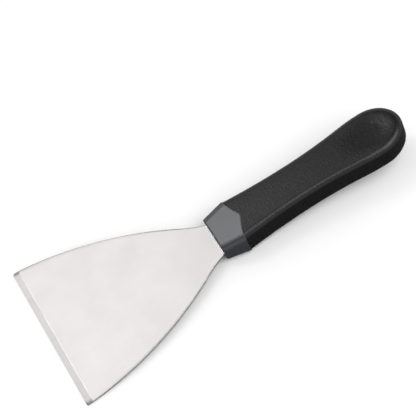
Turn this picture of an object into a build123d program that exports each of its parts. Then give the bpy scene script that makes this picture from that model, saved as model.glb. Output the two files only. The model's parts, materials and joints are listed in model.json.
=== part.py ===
from build123d import *
from math import atan2, degrees, radians, tan
import os

# A hand scraper: a flared stainless blade in a moulded two-part handle.
#
# The blade and its tang are one stamped sheet. A hard plastic core is moulded round the tang and through
# its lock holes, and its front shows as a smooth bolster. A textured grip is moulded over the rest of the
# core and meets the bolster at a V-shaped step.
#
# Each piece is drawn in the tool frame: +X runs from the cutting edge to the butt, Y is across the blade,
# and Z = 0 is the middle of the sheet. The handle is drawn in a frame of its own, pitched up from the blade.
# At the end the tool is set down as it lies on a bench, on its cutting edge and the heel of its bolster.

# Blade, in millimetres and degrees
SHEET = 1.2
EDGE_WIDTH = 101.6  # 4 inches
EDGE_LAND = 0.3  # thickness left at the cutting edge
BEVEL_LENGTH = 4.0  # ground on the upper face only
CORNER_RADIUS = 1.0
FLANK_RADIUS = 227.0  # the convex sides
FLANK_START = 4.5  # angle from the tool's axis at the cutting edge
FLANK_ARC = 27.0
NECK_RADIUS = 65.0  # the concave sides, where the blade runs into the handle
TANG_TAPER = 2.5  # half angle
TANG_END = 192.0  # from the cutting edge
TANG_END_RADIUS = 4.0
LOCK_HOLE_DIAMETER = 6.0
LOCK_HOLES = (134.0, 156.0, 178.0)  # from the cutting edge

# Handle, in its own frame: X from the bolster's front face, Z = 0 in the middle
HANDLE_START = 114.3  # 4.5 inches of blade show
HANDLE_PITCH = 3.6
TANG_BEND_RADIUS = 12.0
HANDLE_LENGTH = 131.5
BOLSTER_FRONT = (13.1, 7.6)  # half width and half thickness
BOLSTER_FLARE = (0.17, 0.133)  # growth of each per millimetre of length
BOLSTER_ROUNDING = 4.0  # of the long edges
BOLSTER_FRONT_ROUNDING = 0.8
STEP_ROUNDING = 0.5
V_APEX = 21.1  # where the step crosses the middle of the face
V_ANGLE = 29.6  # between each arm and a line straight across, at the apex
V_RADIUS = 54.0  # the arms bow towards the blade
V_ARC = 23.0
GRIP_HALF_WIDTH = 16.1  # at the bulb
GRIP_HALF_THICKNESS = 10.0  # at its thickest
FACE_PEAK = 45.0  # where it is thickest
FACE_RADIUS = 3600.0  # the upper and lower faces bow outwards
GRIP_ROUNDING = 4.6
BUTT_START = 112.0  # the butt is half an ellipse
BULB_RADIUS = 128.0  # the sides swell into the butt
BULB_ARC = 7.0
WAIST_RADII = (314.0, 440.0)  # and are waisted in front of it: behind and ahead of the narrowest place
WAIST_ARCS = (7.0, 6.2)

# Inside the handle
GRIP_WALL = 2.4
CORE_ROUNDING = 2.8
GROOVES = (40.0, 64.0, 88.0)  # where the grip keys into the core
GROOVE_WIDTH = 3.0
GROOVE_DEPTH = 1.0
ANCHOR_HOLE = 107.0  # the grip runs through the core here
ANCHOR_HOLE_DIAMETER = 9.0

REACH = 60.0  # takes cutting blocks well past every piece across and up

handle_frame = Plane(Location((HANDLE_START, 0, 0), (0, -HANDLE_PITCH, 0)))


def mirrored_face(*edges):
    """The face between a chain of edges on one side of the X axis and its mirror image."""
    half = Curve() + list(edges)
    return make_face(half + mirror(half, Plane.XZ))


def plan_block(outline):
    """An outline in X and Y, made into a block far taller than the piece."""
    return extrude(outline, REACH, both=True)


def side_block(outline):
    """An outline in X and Z, made into a block far wider than the piece."""
    return extrude(Plane.XZ * outline, REACH, both=True)


# Blade


def blade_plan():
    """A straight cutting edge, convex flanks, a concave neck and a tapered tang."""
    edge = Line((0, 0), (0, EDGE_WIDTH / 2))
    inward = Vector(1, 0, 0).rotate(Axis.Z, -FLANK_START)
    flank = JernArc(edge @ 1, inward, FLANK_RADIUS, -FLANK_ARC)
    neck = JernArc(flank @ 1, flank % 1, NECK_RADIUS, FLANK_START + FLANK_ARC - TANG_TAPER)
    tang_length = TANG_END - (neck @ 1).X
    tang_corner = neck @ 1 + Vector(tang_length, -tang_length * tan(radians(TANG_TAPER)))
    tang_side = Line(neck @ 1, tang_corner)
    tang_end = Line(tang_corner, (TANG_END, 0))
    plan = mirrored_face(edge, flank, neck, tang_side, tang_end)
    plan = fillet(plan.vertices().group_by(Axis.X)[0], CORNER_RADIUS)
    return fillet(plan.vertices().group_by(Axis.X)[-1], TANG_END_RADIUS)


def sheet_surface(start, height):
    """Side view of one surface of the sheet: flat, then bent up to lie along the handle."""
    bend_start = HANDLE_START - TANG_BEND_RADIUS * tan(radians(HANDLE_PITCH / 2))
    flat = Line((start, height), (bend_start, height))
    bend = JernArc(flat @ 1, (1, 0), TANG_BEND_RADIUS - height, HANDLE_PITCH)
    tang = Line(bend @ 1, bend @ 1 + (bend % 1) * TANG_END)  # the plan cuts it to length
    return flat, bend, tang


def make_blade():
    top = sheet_surface(BEVEL_LENGTH, SHEET / 2)
    bottom = sheet_surface(0, -SHEET / 2)
    land = Line(bottom[0] @ 0, (0, EDGE_LAND - SHEET / 2))
    bevel = Line(land @ 1, top[0] @ 0)
    tang_end = Line(top[-1] @ 1, bottom[-1] @ 1)
    sheet = make_face(Curve() + [*top, *bottom, land, bevel, tang_end])
    blade = plan_block(blade_plan()) & side_block(sheet)
    for x in LOCK_HOLES:
        blade -= Pos(x, 0, 0) * Cylinder(LOCK_HOLE_DIAMETER / 2, REACH)
    return blade


# Handle


def block_ahead_of_step():
    """Everything ahead of the V-shaped step between bolster and grip."""
    outward = Vector(0, 1, 0).rotate(Axis.Z, V_ANGLE)
    arm = JernArc((V_APEX, 0), outward, V_RADIUS, -V_ARC)
    side = Line(arm @ 1, ((arm @ 1).X, REACH))
    back = Line(side @ 1, (-REACH, REACH))
    return plan_block(mirrored_face(arm, side, back, Line(back @ 1, (-REACH, 0))))


def tapered_outline(start, growth):
    """Outline of the bolster from above or from the side: it grows from its half width at the front."""
    length = V_APEX + REACH
    side = Line((0, start), (length, start + growth * length))
    return mirrored_face(Line((0, 0), (0, start)), side, Line(side @ 1, (length, 0)))


def make_bolster():
    plan, side = [tapered_outline(start, growth) for start, growth in zip(BOLSTER_FRONT, BOLSTER_FLARE)]
    bolster = plan_block(plan) & side_block(side)
    long_edges = [e for e in bolster.edges() if abs(e.tangent_at(0.5).X) > 0.9]
    bolster = fillet(long_edges, BOLSTER_ROUNDING) & block_ahead_of_step()
    bolster = fillet(bolster.faces().sort_by(Axis.X)[0].edges(), BOLSTER_FRONT_ROUNDING)
    step_walls = [f for f in bolster.faces() if f.normal_at().X > 0.7]
    rear_edges = [e for wall in step_walls for e in wall.edges() if abs(e.tangent_at(0.5).Z) < 0.9]
    return fillet(rear_edges, STEP_ROUNDING)


def make_grip_blank(inset, rounding):
    """The shape of the grip and what it hides, drawn in by an inset from the outer surface."""
    butt_length = HANDLE_LENGTH - BUTT_START - inset
    butt = EllipticalCenterArc((BUTT_START, 0), butt_length, GRIP_HALF_WIDTH - inset, arc_size=90)
    bulb = JernArc(butt @ 1, (-1, 0), BULB_RADIUS - inset, BULB_ARC)
    rear_waist = JernArc(bulb @ 1, bulb % 1, WAIST_RADII[0] + inset, -WAIST_ARCS[0])
    front_waist = JernArc(rear_waist @ 1, rear_waist % 1, WAIST_RADII[1] + inset, -WAIST_ARCS[1])
    front = Line(front_waist @ 1, ((front_waist @ 1).X, 0))
    plan = mirrored_face(butt, bulb, rear_waist, front_waist, front)
    thickness = Circle(FACE_RADIUS - inset)
    upper = Pos(FACE_PEAK, GRIP_HALF_THICKNESS - FACE_RADIUS) * thickness
    lower = Pos(FACE_PEAK, FACE_RADIUS - GRIP_HALF_THICKNESS) * thickness
    blank = plan_block(plan) & side_block(upper & lower)
    faces = blank.faces().sort_by(Axis.Z)
    rims = [e for f in (faces[0], faces[-1]) for e in f.edges() if e.center().X > front.center().X + 0.1]
    return fillet(rims, rounding)


def make_inner_core():
    """What the grip is moulded over: grooved, and pierced near the butt, so that the grip can't slide off."""
    core = make_grip_blank(GRIP_WALL, CORE_ROUNDING)
    groove_floor = make_grip_blank(GRIP_WALL + GROOVE_DEPTH, CORE_ROUNDING)
    for x in GROOVES:
        slice_across = Pos(x, 0, 0) * Box(GROOVE_WIDTH, REACH, REACH)
        core -= slice_across & (core - groove_floor)
    return core - Pos(ANCHOR_HOLE, 0, 0) * Cylinder(ANCHOR_HOLE_DIAMETER / 2, REACH)


def make_handle(blade):
    """The core, moulded round the tang, and the grip, moulded over the core."""
    inner_core = make_inner_core()
    grip = make_grip_blank(0, GRIP_ROUNDING) - block_ahead_of_step() - inner_core
    core = make_bolster() + inner_core
    return handle_frame * core - blade, handle_frame * grip


def set_down(pieces):
    """The pieces as the tool lies on a bench, with the origin under the middle of its box."""
    rear = V_APEX - STEP_ROUNDING
    half_thickness = BOLSTER_FRONT[1] + BOLSTER_FLARE[1] * rear
    heel = handle_frame.from_local_coords(Vector(rear, 0, -half_thickness))
    tilt = degrees(atan2(-SHEET / 2 - heel.Z, heel.X))
    tilted = [Rot(0, -tilt, 0) * piece for piece in pieces]
    box = Compound(tilted).bounding_box()
    return [Pos(-box.center().X, -box.center().Y, -box.min.Z) * piece for piece in tilted]


blade = make_blade()
core, grip = make_handle(blade)
os.makedirs("parts", exist_ok=True)
for name, piece in zip(("blade", "handle_core", "grip"), set_down([blade, core, grip])):
    export_step(piece, f"parts/{name}.step")
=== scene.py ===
"""A hand scraper: a flared, ground steel blade in a smooth bolster, with a textured black grip.

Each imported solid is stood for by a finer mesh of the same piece. The meshes are drawn in millimetres in the
tool's own two frames, as the solids are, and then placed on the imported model:
  the blade's frame, with X from the cutting edge along the blade, and Z = 0 in the middle of the sheet;
  the handle's frame, pitched up from it, with X from the front of the bolster.
"""

import json
from math import asin, cos, hypot, pi, radians, sin, tan

import bmesh
import bpy
import numpy as np
from mathutils import Matrix, Quaternion, Vector, noise


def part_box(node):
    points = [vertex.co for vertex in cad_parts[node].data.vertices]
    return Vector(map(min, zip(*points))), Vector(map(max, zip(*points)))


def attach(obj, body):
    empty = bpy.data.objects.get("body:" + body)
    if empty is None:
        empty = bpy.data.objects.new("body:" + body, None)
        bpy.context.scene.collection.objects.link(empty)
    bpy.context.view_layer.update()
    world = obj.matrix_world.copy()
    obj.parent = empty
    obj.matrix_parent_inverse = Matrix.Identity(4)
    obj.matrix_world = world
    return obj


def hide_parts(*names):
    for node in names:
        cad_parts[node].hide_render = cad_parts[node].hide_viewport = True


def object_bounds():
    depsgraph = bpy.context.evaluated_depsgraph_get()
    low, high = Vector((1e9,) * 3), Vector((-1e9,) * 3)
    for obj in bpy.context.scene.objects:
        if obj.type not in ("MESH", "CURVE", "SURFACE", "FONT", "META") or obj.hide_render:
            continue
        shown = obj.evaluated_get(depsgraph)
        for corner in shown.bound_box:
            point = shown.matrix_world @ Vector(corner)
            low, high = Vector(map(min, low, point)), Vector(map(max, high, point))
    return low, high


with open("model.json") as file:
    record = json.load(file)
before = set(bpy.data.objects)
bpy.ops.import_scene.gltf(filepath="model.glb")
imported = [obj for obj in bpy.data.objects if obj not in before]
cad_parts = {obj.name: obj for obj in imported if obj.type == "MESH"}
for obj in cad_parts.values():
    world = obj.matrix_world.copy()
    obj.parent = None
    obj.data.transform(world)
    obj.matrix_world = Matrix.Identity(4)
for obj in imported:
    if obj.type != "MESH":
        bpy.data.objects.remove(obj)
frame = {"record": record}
cad_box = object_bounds()

MM = 0.001

# Blade, in millimetres and degrees
SHEET = 1.2
EDGE_WIDTH = 101.6
EDGE_LAND = 0.3  # thickness left at the cutting edge
BEVEL_LENGTH = 4.0
CORNER_RADIUS = 1.0
FLANK_RADIUS = 227.0  # the convex sides
FLANK_START = 4.5  # angle from the tool's axis at the cutting edge
FLANK_ARC = 27.0
NECK_RADIUS = 65.0  # the concave sides
TANG_TAPER = 2.5
TANG_END = 192.0
TANG_END_RADIUS = 4.0
TANG_BEND_RADIUS = 12.0
SHEET_ROUNDING = 0.2  # the stamped edges are dulled
BEVEL_SOFTENING = 0.05  # on each side of the line where the bevel meets the face

# Handle, from the front of the bolster
HANDLE_START = 114.3  # from the cutting edge
HANDLE_PITCH = 3.6
HANDLE_LENGTH = 131.5
BOLSTER_FRONT = (13.1, 7.6)  # half width and half thickness
BOLSTER_FLARE = (0.17, 0.133)  # growth of each per millimetre of length
BOLSTER_ROUNDING = 4.0
BOLSTER_FRONT_ROUNDING = 0.8
STEP_ROUNDING = 0.5
V_APEX = 21.1  # where the step would cross the middle of the face if its point were sharp
V_POINT_ROUNDING = 0.7
V_ANGLE = 29.6
V_RADIUS = 54.0
GRIP_HALF_WIDTH = 16.1
GRIP_HALF_THICKNESS = 10.0
FACE_PEAK = 45.0
FACE_RADIUS = 3600.0
GRIP_ROUNDING = (4.4, 4.0)  # across and up
BUTT_START = 112.0
BULB_RADIUS = 128.0
BULB_ARC = 7.0
WAIST_RADII = (314.0, 440.0)  # behind and ahead of the narrowest place

# Surface of the grip
FACE_CROWN = 0.25  # how far the faces fall from their middle to their rim
CROWN_START = (V_APEX - 8, V_APEX + 12)  # where along the grip that starts and where it is full
DISH_DEPTH = 0.8  # the faces are dished near the butt
DISH = (88.0, 116.0)  # where it starts and where it is deepest
DISH_RIM = (0.35, 0.97)  # it rises between these shares of the way out to the rim
GRAIN_SIZE = 0.75
GRAIN_HEIGHT = 0.045
GRAIN_STEP = 0.42  # between the points that carry it
GRAIN_MARGIN = 1.2  # it fades out this near the step
GRAIN_EYE = (1.0, 5.0)  # and between these distances from where the rows of points meet in the butt
RIM_SMOOTHNESS = 0.7  # it is fainter by this share on the rounded rim and the sides
RIM_START = 0.85  # share of the way out to the rim where it starts to fade
NOISE_PEAK = 0.5  # what noise.noise usually stays within

# Inside the handle
GRIP_WALL = 2.4
CORE_ROUNDING = 2.8
GROOVES = (40.0, 64.0, 88.0)
GROOVE_WIDTH = 3.0
GROOVE_DEPTH = 1.0
INNER_BUTT_TURN = 85.0  # degrees round the butt, where a flat cap closes it
MOST_ROUNDING = 0.9  # share of the half width that a corner takes up at most
SLOT_CLEARANCE = 0.01

# Fineness of the meshes: steps round or across, or millimetres along the tool
CORE_RING = (14, 8, 8)  # in each quarter, across a flat, round a corner and up a side
GRIP_RING = (25, 17, 13)
BLADE_FACE_STEPS = 36
BLADE_EDGE_STEPS = 4
BLADE_CORNER_STEPS = 8
BEVEL_STEP = 0.4
BLADE_STEP = 1.1
TANG_END_STEPS = 7
SLOT_STEP = 4.0
FRONT_FACE_STEPS = 9
FRONT_EDGE_STEPS = 6
BOLSTER_STEPS = 25
STEP_EDGE_STEPS = 5
CORE_WALL_STEPS = 5
GRIP_WALL_STEPS = 4
INNER_FRONT_STEPS = 7
INNER_BUTT_STEPS = 13
CORE_STEP = 2.0  # inside the grip
GRIP_INSIDE_STEP = 4.0
SIDE_ROW = BUTT_START - V_APEX + 4  # usual length of a row along the side of the grip
WELD_DISTANCE = 0.001
SHARP_ANGLE = 35.0  # degrees between faces that are shaded apart
GRIP_SHARP_ANGLE = 60.0  # so that the grain isn't
SEARCH_ROUNDS = 6  # enough to find a point that lies on two surfaces

# Camera, in metres and degrees
CAMERA_AZIMUTH = -14.41
CAMERA_ELEVATION = 59.51
CAMERA_ROLL = -16.53
CAMERA_LENS = 167.27
CAMERA_DISTANCE = 1.1581
CAMERA_AIM = (-0.00201, 0.02002, 0.01)

# Studio, in metres and degrees
FLOOR_HALF_SIZE = 6.0
SURROUND = (  # sine of the elevation, and radiance
    (-1.0, 0.06), (-0.75, 0.09), (-0.2, 0.45), (0.0, 0.9), (0.5, 0.9), (0.72, 0.17), (1.0, 0.3),
)
SOFTBOXES = (  # name, azimuth, elevation, distance, width, height, radiance
    ("blade_light", -167.8, 60.1, 1.2, 0.4, 0.6, 1.19),  # what the blade's face mirrors
    ("bolster_light", -145.0, 56.5, 2.8, 0.22, 0.62, 11.8),
    ("bolster_fill", -114.0, 66.0, 1.25, 0.32, 0.36, 2.2),
    ("back_light", -165.0, 27.0, 1.4, 0.3, 0.6, 1.0),
    ("bevel_light", -131.7, 48.0, 1.43, 0.32, 0.62, 0.97),
    ("top_light", -60.0, 76.0, 1.2, 0.8, 0.6, 0.75),
    ("rim_light", 44.0, 59.0, 1.2, 1.05, 0.8, 3.2),
)

# Frames

underside = frame["record"]["mounts"][0]
blade_slope = asin(underside["axis"][0])
edge_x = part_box("blade")[0].x + EDGE_LAND * MM * sin(blade_slope)
blade_frame = (
    Matrix.Translation((edge_x, 0, 0))
    @ Matrix.Rotation(-blade_slope, 4, "Y")
    @ Matrix.Scale(MM, 4)
    @ Matrix.Translation((0, 0, SHEET / 2))
)
handle_frame = (
    blade_frame
    @ Matrix.Translation((HANDLE_START, 0, 0))
    @ Matrix.Rotation(-radians(HANDLE_PITCH), 4, "Y")
)

# Mesh helpers


def spaced(start, end, step):
    """Numbers from start to end, about a step apart."""
    return np.linspace(start, end, max(2, round(abs(end - start) / step) + 1))


def smooth(low, high, value):
    """0 up to low, 1 from high, and an S-shaped rise between."""
    t = np.clip((value - low) / (high - low), 0, 1)
    return t * t * (3 - 2 * t)


def parts_of(end, steps):
    """Numbers from 0 to end in that many steps, without the 0."""
    return np.linspace(0, end, steps + 1)[1:]


def skin(grid, first, closed):
    """The quads over a grid of points, numbered from first.

    A closed grid joins its last row to its first.
    """
    columns, rows = grid.shape[:2]
    number = first + np.arange(columns * rows).reshape(columns, rows)
    if closed:
        number = np.concatenate([number, number[:, :1]], axis=1)
    a, b, c, d = number[:-1, :-1], number[1:, :-1], number[1:, 1:], number[:-1, 1:]
    return np.stack([a, b, c, d], axis=-1).reshape(-1, 4)


def end_cap(ring):
    """The quads that close a ring of point numbers which starts on one side and runs there and back."""
    half = len(ring) // 2
    there, back = ring[:half], ring[:half - 1:-1]
    return np.stack([there[:-1], there[1:], back[1:], back[:-1]], axis=-1)


def make_piece(name, points, quads, place, sharp_angle=SHARP_ANGLE):
    """An object from points in a frame's millimetres, with doubled points welded."""
    mesh = bpy.data.meshes.new(name)
    mesh.from_pydata(points.tolist(), [], quads.tolist())
    mesh.transform(place)
    shape = bmesh.new()
    shape.from_mesh(mesh)
    bmesh.ops.remove_doubles(shape, verts=shape.verts, dist=WELD_DISTANCE * MM)
    bmesh.ops.recalc_face_normals(shape, faces=shape.faces)
    shape.to_mesh(mesh)
    shape.free()
    mesh.shade_smooth()
    mesh.set_sharp_from_angle(angle=radians(sharp_angle))
    piece = bpy.data.objects.new(name, mesh)
    bpy.context.scene.collection.objects.link(piece)
    return piece


# A ring is a rounded rectangle across the tool. Each of its points is a share of the way across a flat (u),
# an angle round a corner (turn) and a share of the way up a side (s), with the signs of its y and its z.


def ring_of(flat, corner, side):
    """The ring with those numbers of steps in each quarter, starting in the middle of the upper flat."""
    u = np.concatenate([np.linspace(0, 1, flat + 1), np.ones(corner + side)])
    turn = np.concatenate([np.zeros(flat), np.linspace(0, pi / 2, corner + 1), np.full(side, pi / 2)])
    s = np.concatenate([np.ones(flat + corner), np.linspace(1, 0, side + 1)])
    quarter = np.stack([u, turn, s])
    back = quarter[:, -2::-1]
    full = np.concatenate([quarter, back, quarter[:, 1:], back[:, :-1]], axis=1)
    n = quarter.shape[1]
    y_sign = np.concatenate([np.ones(2 * n - 1), -np.ones(2 * n - 3)])
    z_sign = np.concatenate([np.ones(n), -np.ones(2 * n - 2), np.ones(n - 2)])
    return np.vstack([full, y_sign, z_sign])


def across(ring, width, thickness, rounding_y, rounding_z):
    """y and z of a ring's points, for a half width, a half thickness and the corner's size both ways."""
    u, turn, s, y_sign, z_sign = ring
    y = u * (width - rounding_y) + rounding_y * np.sin(turn)
    z = s * (thickness - rounding_z) + rounding_z * np.cos(turn)
    return y_sign * y, z_sign * z


# Shapes


def blade_half_width(x):
    """Half the width of the blade, its neck or its tang, x from the cutting edge."""
    start, end = radians(FLANK_START), radians(FLANK_START + FLANK_ARC)
    flank_x, flank_y = -FLANK_RADIUS * sin(start), EDGE_WIDTH / 2 - FLANK_RADIUS * cos(start)
    flank_end = flank_x + FLANK_RADIUS * sin(end)
    flank = flank_y + np.sqrt(np.maximum(FLANK_RADIUS ** 2 - (x - flank_x) ** 2, 0))
    neck_x = flank_end + NECK_RADIUS * sin(end)
    neck_y = flank_y + (FLANK_RADIUS + NECK_RADIUS) * cos(end)
    neck_end = neck_x - NECK_RADIUS * sin(radians(TANG_TAPER))
    neck = neck_y - np.sqrt(np.maximum(NECK_RADIUS ** 2 - (x - neck_x) ** 2, 0))
    tang_start = neck_y - NECK_RADIUS * cos(radians(TANG_TAPER))
    tang = tang_start - (x - neck_end) * tan(radians(TANG_TAPER))
    width = np.where(x < flank_end, flank, np.where(x < neck_end, neck, tang))
    # Corners of the cutting edge, and of the end of the tang
    tangent = CORNER_RADIUS * (1 + sin(start))
    corner_y = EDGE_WIDTH / 2 - CORNER_RADIUS * (tan(start) + 1 / cos(start))
    corner = corner_y + np.sqrt(np.maximum(CORNER_RADIUS ** 2 - (CORNER_RADIUS - x) ** 2, 0))
    width = np.where(x < tangent, corner, width)
    r = TANG_END_RADIUS
    end_y = tang_start - (TANG_END - r - neck_end) * tan(radians(TANG_TAPER)) - r
    rounded = end_y + np.sqrt(np.maximum(r ** 2 - (x - TANG_END + r) ** 2, 0))
    return np.where(x > TANG_END - r, rounded, width)


def bent(x, height):
    """x and z of a point at that height over the middle of the sheet, which bends up into the handle."""
    pitch = radians(HANDLE_PITCH)
    start = HANDLE_START - TANG_BEND_RADIUS * tan(pitch / 2)
    slope = np.arcsin(np.clip((x - start) / TANG_BEND_RADIUS, 0, sin(pitch)))
    curve = TANG_BEND_RADIUS * (1 - np.cos(slope))
    straight = np.maximum(x - start - TANG_BEND_RADIUS * sin(pitch), 0) * tan(pitch)
    return x - height * np.sin(slope), curve + straight + height * np.cos(slope)


def v_step(y):
    """x of the step between bolster and grip."""
    angle = radians(V_ANGLE)
    centre_x, centre_y = V_APEX + V_RADIUS * cos(angle), V_RADIUS * sin(angle)
    return centre_x - np.sqrt(V_RADIUS ** 2 - (np.hypot(y, V_POINT_ROUNDING) - centre_y) ** 2)


def grip_half_width(x):
    """Half the width of the grip ahead of its butt."""
    arc = radians(BULB_ARC)
    bulb_end = BUTT_START - BULB_RADIUS * sin(arc)
    waist_x = bulb_end - WAIST_RADII[0] * sin(arc)
    waist = GRIP_HALF_WIDTH - (BULB_RADIUS + WAIST_RADII[0]) * (1 - cos(arc))
    bulb = GRIP_HALF_WIDTH - BULB_RADIUS + np.sqrt(BULB_RADIUS ** 2 - (x - BUTT_START) ** 2)
    radius = np.where(x > waist_x, *WAIST_RADII)
    sides = waist + radius - np.sqrt(radius ** 2 - (x - waist_x) ** 2)
    return np.where(x > bulb_end, bulb, sides)


def grip_half_thickness(x):
    """Half the thickness of the grip, before its faces are crowned and dished."""
    return GRIP_HALF_THICKNESS - FACE_RADIUS + np.sqrt(FACE_RADIUS ** 2 - (x - FACE_PEAK) ** 2)


def inner_half_width(x):
    """Half the width of the core inside the grip, grooves aside."""
    butt_length = HANDLE_LENGTH - BUTT_START - GRIP_WALL
    beyond = np.clip((x - BUTT_START) / butt_length, 0, 1)
    butt = (GRIP_HALF_WIDTH - GRIP_WALL) * np.sqrt(1 - beyond ** 2)
    return np.where(x > BUTT_START, butt, grip_half_width(np.minimum(x, BUTT_START)) - GRIP_WALL)


def inner_ring(ring, x, depth=0.0):
    """The surface between the core and the grip at x, which has one value for each point, as points."""
    width = inner_half_width(x) - depth
    thickness = grip_half_thickness(x) - GRIP_WALL - depth
    rounding = np.minimum(CORE_ROUNDING, MOST_ROUNDING * width)
    y, z = across(ring, width, thickness, rounding, rounding)
    return np.stack([x, y, z], axis=-1)


def inner_start(ring):
    """x where each row of the surface between the core and the grip meets the step."""
    x = np.full(ring.shape[1], V_APEX)
    for _ in range(SEARCH_ROUNDS):
        x = v_step(inner_ring(ring, x)[:, 1])
    return x


def inner_columns(ring, step):
    """The surface between the core and the grip, from the step to the butt, grooves and all."""
    start = inner_start(ring)
    front = GROOVES[0] - GROOVE_WIDTH
    columns = [inner_ring(ring, start)]
    columns += [inner_ring(ring, start + (front - start) * t) for t in parts_of(1, INNER_FRONT_STEPS)]
    here = front
    for groove in GROOVES:
        near, far = groove - GROOVE_WIDTH / 2, groove + GROOVE_WIDTH / 2
        runs = [(x, 0.0) for x in spaced(here, near, step)[1:]]
        runs += [(x, GROOVE_DEPTH) for x in spaced(near, far, GROOVE_WIDTH / 2)]
        runs += [(far, 0.0)]
        columns += [inner_ring(ring, np.full(ring.shape[1], x), depth) for x, depth in runs]
        here = far
    butt_length = HANDLE_LENGTH - BUTT_START - GRIP_WALL
    last = list(spaced(here, BUTT_START, step)[1:])
    turns = parts_of(radians(INNER_BUTT_TURN), INNER_BUTT_STEPS)
    last += [BUTT_START + butt_length * sin(a) for a in turns]
    columns += [inner_ring(ring, np.full(ring.shape[1], x)) for x in last]
    return np.stack(columns)


# Pieces


def make_blade():
    """The sheet and its tang. At each x, points run across the upper face and back along the lower one."""
    turns = parts_of(pi / 2, BLADE_CORNER_STEPS)
    first = [0, *(CORNER_RADIUS * (1 - cos(a)) for a in turns)]
    bevel = spaced(CORNER_RADIUS, BEVEL_LENGTH - BEVEL_SOFTENING, BEVEL_STEP)[1:]
    ridge = [BEVEL_LENGTH, BEVEL_LENGTH + BEVEL_SOFTENING]
    body = spaced(ridge[-1], TANG_END - TANG_END_RADIUS, BLADE_STEP)[1:]
    end = [TANG_END - TANG_END_RADIUS * (1 - sin(a)) for a in parts_of(pi / 2, TANG_END_STEPS)]
    turn = np.linspace(0, pi / 2, BLADE_EDGE_STEPS + 1)
    columns = []
    for x in [*first, *bevel, *ridge, *body, *end]:
        width = float(blade_half_width(np.array(x)))
        top = SHEET / 2 - max(0.0, (SHEET - EDGE_LAND) * (1 - x / BEVEL_LENGTH))
        rounding = min(SHEET_ROUNDING, (top + SHEET / 2) / 3)  # less where the bevel is thin
        y = np.concatenate([
            -(width - rounding) - rounding * np.cos(turn[:-1]),
            np.linspace(-(width - rounding), width - rounding, BLADE_FACE_STEPS + 1),
            width - rounding + rounding * np.sin(turn[1:]),
        ])
        drop = rounding * np.concatenate([
            1 - np.sin(turn[:-1]),
            np.zeros(BLADE_FACE_STEPS + 1),
            1 - np.cos(turn[1:]),
        ])
        y = np.concatenate([y, y[::-1]])
        height = np.concatenate([top - drop, -SHEET / 2 + drop[::-1]])
        bent_x, bent_z = bent(x, height)
        columns.append(np.stack([bent_x, y, bent_z], axis=-1))
    grid = np.stack(columns)
    rows = grid.shape[1]
    number = np.arange(grid.shape[0] * rows).reshape(-1, rows)
    quads = np.concatenate([skin(grid, 0, True), end_cap(number[0]), end_cap(number[-1][::-1])])
    return make_piece("steel_blade", grid.reshape(-1, 3), quads, blade_frame)


def bolster_ring(ring, share, inset=0.0, ahead=0.0):
    """A ring of the bolster, a share of the way from its front to the step, drawn in and moved forward."""
    front = BOLSTER_FRONT_ROUNDING
    y = np.zeros(ring.shape[1])
    for _ in range(SEARCH_ROUNDS):
        x = front + (v_step(y) - STEP_ROUNDING - front) * share + ahead
        width = BOLSTER_FRONT[0] + BOLSTER_FLARE[0] * x
        thickness = BOLSTER_FRONT[1] + BOLSTER_FLARE[1] * x
        rounding = BOLSTER_ROUNDING - inset
        y, z = across(ring, width - inset, thickness - inset, rounding, rounding)
    return np.stack([x, y, z], axis=-1)


def make_handle_core():
    """The bolster and what the grip is moulded over, in one, with a slot for the tang."""
    ring = ring_of(*CORE_RING)
    flat_x = np.zeros(ring.shape[1])
    columns = []
    # Slot, from its end out to the front face
    thickness = SHEET / 2 + SLOT_CLEARANCE
    for x in spaced(TANG_END - HANDLE_START, 0, SLOT_STEP):
        width = float(blade_half_width(np.array(HANDLE_START + x * cos(radians(HANDLE_PITCH)))))
        y, z = across(ring, width + SLOT_CLEARANCE, thickness, SHEET_ROUNDING, SHEET_ROUNDING)
        columns.append(np.stack([flat_x + x, y, z], axis=-1))
    # Front face, out to its rounded edge
    slot = columns[-1]
    r = BOLSTER_FRONT_ROUNDING
    rim = bolster_ring(ring, 0, r, -r)
    columns += [slot + (rim - slot) * t for t in parts_of(1, FRONT_FACE_STEPS)]
    for a in parts_of(pi / 2, FRONT_EDGE_STEPS):
        columns.append(bolster_ring(ring, 0, r * (1 - sin(a)), -r * cos(a)))
    # Body, the rounded edge of the step, and its wall down to what the grip covers
    columns += [bolster_ring(ring, t) for t in parts_of(1, BOLSTER_STEPS)]
    r = STEP_ROUNDING
    for a in parts_of(pi / 2, STEP_EDGE_STEPS):
        columns.append(bolster_ring(ring, 1, r * (1 - cos(a)), r * sin(a)))
    top = columns[-1]
    foot = inner_ring(ring, inner_start(ring))
    for t in parts_of(1, CORE_WALL_STEPS):
        wall = top + (foot - top) * t
        wall[:, 0] = v_step(wall[:, 1])
        columns.append(wall)
    columns += list(inner_columns(ring, CORE_STEP)[1:])
    grid = np.stack(columns)
    rows = grid.shape[1]
    number = np.arange(grid.shape[0] * rows).reshape(-1, rows)
    quarter = rows // 4
    caps = [end_cap(np.roll(number[i], quarter)) for i in (0, -1)]
    quads = np.concatenate([skin(grid, 0, True), *caps])
    return make_piece("bolster_and_core", grid.reshape(-1, 3), quads, handle_frame)


def grain(points):
    """Height of the moulded grain at each point, from -1 to 1 or so."""
    values = [noise.noise(Vector(p) / GRAIN_SIZE) for p in points]
    return np.array(values) / NOISE_PEAK


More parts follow.
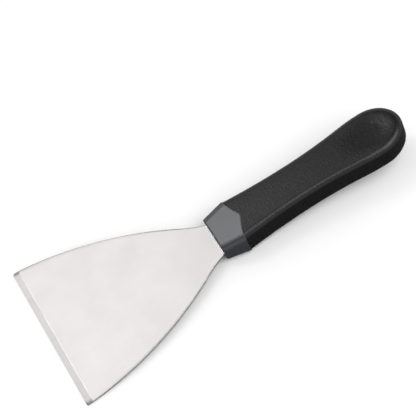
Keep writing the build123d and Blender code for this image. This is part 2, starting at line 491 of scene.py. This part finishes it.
def make_grip():
    """The grip: rows of points along one side, round the butt and back, and the hollow for the core."""
    ring = ring_of(*GRIP_RING)
    rows = ring.shape[1] // 2 + 1
    half = ring[:, :rows]
    # Along one side, from the step to the start of the butt
    y = np.zeros(rows)
    for _ in range(SEARCH_ROUNDS):
        start = v_step(y)
        y, _z = across(half, grip_half_width(start), grip_half_thickness(start), *GRIP_ROUNDING)
    shares = spaced(0, 1, GRAIN_STEP / SIDE_ROW)
    x = start + (BUTT_START - start) * shares[:, None]
    y, z = across(half, grip_half_width(x), grip_half_thickness(x), *GRIP_ROUNDING)
    side = np.stack([x, y, z], axis=-1)
    # Round the butt
    butt_length = HANDLE_LENGTH - BUTT_START
    arc_length = pi * hypot(butt_length, GRIP_HALF_WIDTH) / 2 ** 0.5
    a = spaced(pi / 2, -pi / 2, GRAIN_STEP * pi / arc_length)[1:-1, None]
    outline_x, outline_y = BUTT_START + butt_length * np.cos(a), GRIP_HALF_WIDTH * np.sin(a)
    out_x, out_y = np.cos(a) / butt_length, np.sin(a) / GRIP_HALF_WIDTH
    length = np.hypot(out_x, out_y)
    u, turn, s, _y_sign, z_sign = half
    rounding_across, rounding_up = GRIP_ROUNDING
    inward = rounding_across * (1 - np.sin(turn))
    rim_x = outline_x - out_x / length * inward
    rim_y = outline_y - out_y / length * inward
    x = BUTT_START + (rim_x - BUTT_START) * u
    y = rim_y * u
    z = z_sign * (s * (grip_half_thickness(x) - rounding_up) + rounding_up * np.cos(turn))
    butt = np.stack([x, y, z], axis=-1)
    outer = textured(np.concatenate([side, butt, side[::-1] * (1, -1, 1)]), half)
    # Wall of the step, down to the core, and the inside
    top_ring = np.concatenate([outer[0], outer[-1][-2:0:-1]])
    foot = inner_ring(ring, inner_start(ring))
    wall = [top_ring + (foot - top_ring) * t for t in parts_of(1, GRIP_WALL_STEPS)]
    for column in wall:
        column[:, 0] = v_step(column[:, 1])
    inside = np.concatenate([[top_ring], wall, inner_columns(ring, GRIP_INSIDE_STEP)[1:]])
    columns, around = inside.shape[:2]
    outer_points = outer.reshape(-1, 3)
    last = len(outer_points) + np.arange((columns - 1) * around, columns * around)
    cap = end_cap(np.roll(last, around // 4))
    quads = np.concatenate([skin(outer, 0, False), skin(inside, len(outer_points), True), cap])
    points = np.concatenate([outer_points, inside.reshape(-1, 3)])
    return make_piece("textured_grip", points, quads, handle_frame, sharp_angle=GRIP_SHARP_ANGLE)


def textured(outer, half):
    """The grip's outer surface with its crowned and dished faces and its moulded grain."""
    u, turn, s, _y_sign, z_sign = half
    x = outer[..., 0]
    behind = smooth(*DISH, x)
    dish = DISH_DEPTH * behind * (1 - smooth(*DISH_RIM, u))
    ahead = smooth(*CROWN_START, x) * (1 - behind)
    crown = FACE_CROWN * u ** 2 * (1 - np.sin(turn)) * ahead
    sunk = outer.copy()
    sunk[..., 2] -= z_sign * (dish + crown) * (s == 1)
    normal = np.cross(np.gradient(sunk, axis=0), np.gradient(sunk, axis=1))
    length = np.linalg.norm(normal, axis=-1, keepdims=True)
    normal = np.divide(normal, length, out=np.zeros_like(normal), where=length > 1e-9)
    from_step = np.arange(len(x)) * GRAIN_STEP
    fade = smooth(0, GRAIN_MARGIN, np.minimum(from_step, from_step[::-1]))[:, None]
    fade = fade * smooth(*GRAIN_EYE, np.hypot(x - BUTT_START, sunk[..., 1]))
    fade = fade * (1 - RIM_SMOOTHNESS * smooth(RIM_START, 1, u))
    height = GRAIN_HEIGHT * grain(sunk.reshape(-1, 3)).reshape(x.shape) * fade
    return sunk + normal * height[..., None]


# Materials

NOISE_RANGE = (0.3, 0.7)  # a noise texture's usual lows and highs


class Nodes:
    """A new material's node tree, with its shader."""

    def __init__(self, name):
        self.material = bpy.data.materials.new(name)
        self.material.use_nodes = True
        self.tree = self.material.node_tree
        self.tree.nodes.clear()
        output = self.add("ShaderNodeOutputMaterial")
        self.shader = self.add("ShaderNodeBsdfPrincipled")
        self.link(self.shader.outputs[0], output.inputs["Surface"])
        self.place = self.add("ShaderNodeTexCoord").outputs["Object"]

    def add(self, kind, **settings):
        node = self.tree.nodes.new(kind)
        for name, value in settings.items():
            setattr(node, name, value)
        return node

    def link(self, source, target):
        self.tree.links.new(source, target)

    def set(self, **values):
        for name, value in values.items():
            self.shader.inputs[name.replace("_", " ")].default_value = value

    def noise(self, size, detail=2.0, roughness=0.5, stretch=(1, 1, 1)):
        """Noise with features of about that size in millimetres, longer along an axis by its stretch."""
        mapping = self.add("ShaderNodeMapping")
        mapping.inputs["Scale"].default_value = [1 / (size * MM * s) for s in stretch]
        texture = self.add("ShaderNodeTexNoise")
        texture.inputs["Scale"].default_value = 1.0
        texture.inputs["Detail"].default_value = detail
        texture.inputs["Roughness"].default_value = roughness
        self.link(self.place, mapping.inputs["Vector"])
        self.link(mapping.outputs[0], texture.inputs["Vector"])
        return texture.outputs["Fac"]

    def colour(self, value, low, high):
        """Colours the surface from one colour to the other as a noise goes from its lows to its highs."""
        node = self.add("ShaderNodeValToRGB")
        for element, at, colour in zip(node.color_ramp.elements, NOISE_RANGE, (low, high)):
            element.position = at
            element.color = (*colour, 1)
        self.link(value, node.inputs["Fac"])
        self.link(node.outputs["Color"], self.shader.inputs["Base Color"])

    def roughness(self, value, low, high):
        """Goes from one roughness to the other as a noise goes from its lows to its highs."""
        node = self.add("ShaderNodeMapRange")
        for name, number in zip(("From Min", "From Max", "To Min", "To Max"), (*NOISE_RANGE, low, high)):
            node.inputs[name].default_value = number
        self.link(value, node.inputs["Value"])
        self.link(node.outputs["Result"], self.shader.inputs["Roughness"])

    def bump(self, *heights):
        """Bumps from (height, distance in millimetres, strength), one on another, on the shader."""
        normal = None
        for height, distance, strength in heights:
            node = self.add("ShaderNodeBump")
            node.inputs["Distance"].default_value = distance * MM
            node.inputs["Strength"].default_value = strength
            self.link(height, node.inputs["Height"])
            if normal is not None:
                self.link(normal, node.inputs["Normal"])
            normal = node.outputs["Normal"]
        self.link(normal, self.shader.inputs["Normal"])


def steel():
    """Satin steel, with faint lines along the blade."""
    m = Nodes("blade_steel")
    m.set(Metallic=1.0)
    lines = m.noise(0.12, 3.0, 0.6, stretch=(60, 1, 60))
    m.colour(m.noise(22.0, 3.0, 0.5), (0.56, 0.543, 0.54), (0.60, 0.583, 0.58))
    m.roughness(lines, 0.14, 0.20)
    m.bump((lines, 0.003, 0.35))
    return m.material


def core_plastic():
    """Smooth, slightly bluish black plastic."""
    m = Nodes("core_plastic")
    m.set(Specular_IOR_Level=0.5)
    fine = m.noise(0.25, 2.0, 0.5)
    m.colour(m.noise(9.0, 3.0, 0.5), (0.031, 0.033, 0.039), (0.036, 0.038, 0.045))
    m.roughness(fine, 0.22, 0.28)
    m.bump((fine, 0.004, 0.25))
    return m.material


def grip_rubber():
    """Black rubber with a fine pebbled sheen over the moulded grain."""
    m = Nodes("grip_rubber")
    m.set(Specular_IOR_Level=0.4)
    pebbles = m.noise(0.6, 1.5, 0.5)
    m.colour(m.noise(7.0, 3.0, 0.5), (0.004, 0.004, 0.0041), (0.006, 0.006, 0.0061))
    m.roughness(pebbles, 0.24, 0.32)
    m.bump((pebbles, 0.09, 0.8))
    return m.material


def pale_floor():
    m = Nodes("pale_floor")
    m.set(Base_Color=(0.94, 0.94, 0.94, 1), Roughness=0.9)
    return m.material


# Studio


def make_floor():
    shape = bmesh.new()
    bmesh.ops.create_grid(shape, x_segments=4, y_segments=4, size=FLOOR_HALF_SIZE)
    mesh = bpy.data.meshes.new("floor")
    shape.to_mesh(mesh)
    shape.free()
    floor = bpy.data.objects.new("floor", mesh)
    bpy.context.scene.collection.objects.link(floor)
    mesh.materials.append(pale_floor())
    floor.visible_glossy = False  # the gloss mirrors a dim surround below, as if the tool were held up


def make_surround():
    """A surround that glows round the horizon and is dim overhead and below."""
    world = bpy.data.worlds.new("studio")
    world.use_nodes = True
    nodes, links = world.node_tree.nodes, world.node_tree.links
    place = nodes.new("ShaderNodeTexCoord")
    split = nodes.new("ShaderNodeSeparateXYZ")
    share = nodes.new("ShaderNodeMapRange")
    share.inputs["From Min"].default_value = -1.0
    ramp = nodes.new("ShaderNodeValToRGB")
    while len(ramp.color_ramp.elements) < len(SURROUND):
        ramp.color_ramp.elements.new(0.5)
    for element, (height, radiance) in zip(ramp.color_ramp.elements, SURROUND):
        element.position = (height + 1) / 2
        element.color = (radiance, radiance, radiance, 1)
    links.new(place.outputs["Generated"], split.inputs[0])
    links.new(split.outputs["Z"], share.inputs["Value"])
    links.new(share.outputs["Result"], ramp.inputs["Fac"])
    links.new(ramp.outputs["Color"], nodes["Background"].inputs["Color"])
    bpy.context.scene.world = world


def direction(azimuth, elevation):
    """The way from the tool to a place round it: azimuth 0 is off its -Y side and 90 past its butt."""
    a, e = radians(azimuth), radians(elevation)
    return Vector((sin(a) * cos(e), -cos(a) * cos(e), sin(e)))


def softbox(name, azimuth, elevation, distance, width, height, radiance, target):
    """A soft light that faces the target and is out of sight of the camera."""
    lamp = bpy.data.lights.new(name, "AREA")
    lamp.shape = "RECTANGLE"
    lamp.size, lamp.size_y = width, height
    lamp.energy = radiance * pi * width * height
    light = bpy.data.objects.new(name, lamp)
    back = direction(azimuth, elevation)
    light.location = target + back * distance
    light.rotation_mode = "QUATERNION"
    light.rotation_quaternion = (-back).to_track_quat("-Z", "Y")
    light.visible_camera = False
    bpy.context.scene.collection.objects.link(light)


def make_camera():
    lens = bpy.data.cameras.new("camera")
    lens.sensor_width = 36
    lens.lens = CAMERA_LENS
    lens.clip_start, lens.clip_end = 0.01, 100
    camera = bpy.data.objects.new("camera", lens)
    back = direction(CAMERA_AZIMUTH, CAMERA_ELEVATION)
    camera.location = Vector(CAMERA_AIM) + back * CAMERA_DISTANCE
    camera.rotation_mode = "QUATERNION"
    level = (-back).to_track_quat("-Z", "Y")
    camera.rotation_quaternion = level @ Quaternion((0, 0, 1), radians(CAMERA_ROLL))
    bpy.context.scene.collection.objects.link(camera)
    bpy.context.scene.camera = camera


PIECES = (
    (make_blade, "blade", "blade_steel", steel),
    (make_handle_core, "handle_core", "core_plastic", core_plastic),
    (make_grip, "grip", "grip_rubber", grip_rubber),
)
for make, node, slot, material in PIECES:
    piece = make()
    piece.data.materials.append(material())
    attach(piece, "root")
    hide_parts(node)

middle = (cad_box[0] + cad_box[1]) / 2
make_floor()
make_camera()
make_surround()
for name, *place in SOFTBOXES:
    softbox(name, *place, middle)
bpy.context.scene.view_settings.view_transform = "Standard"
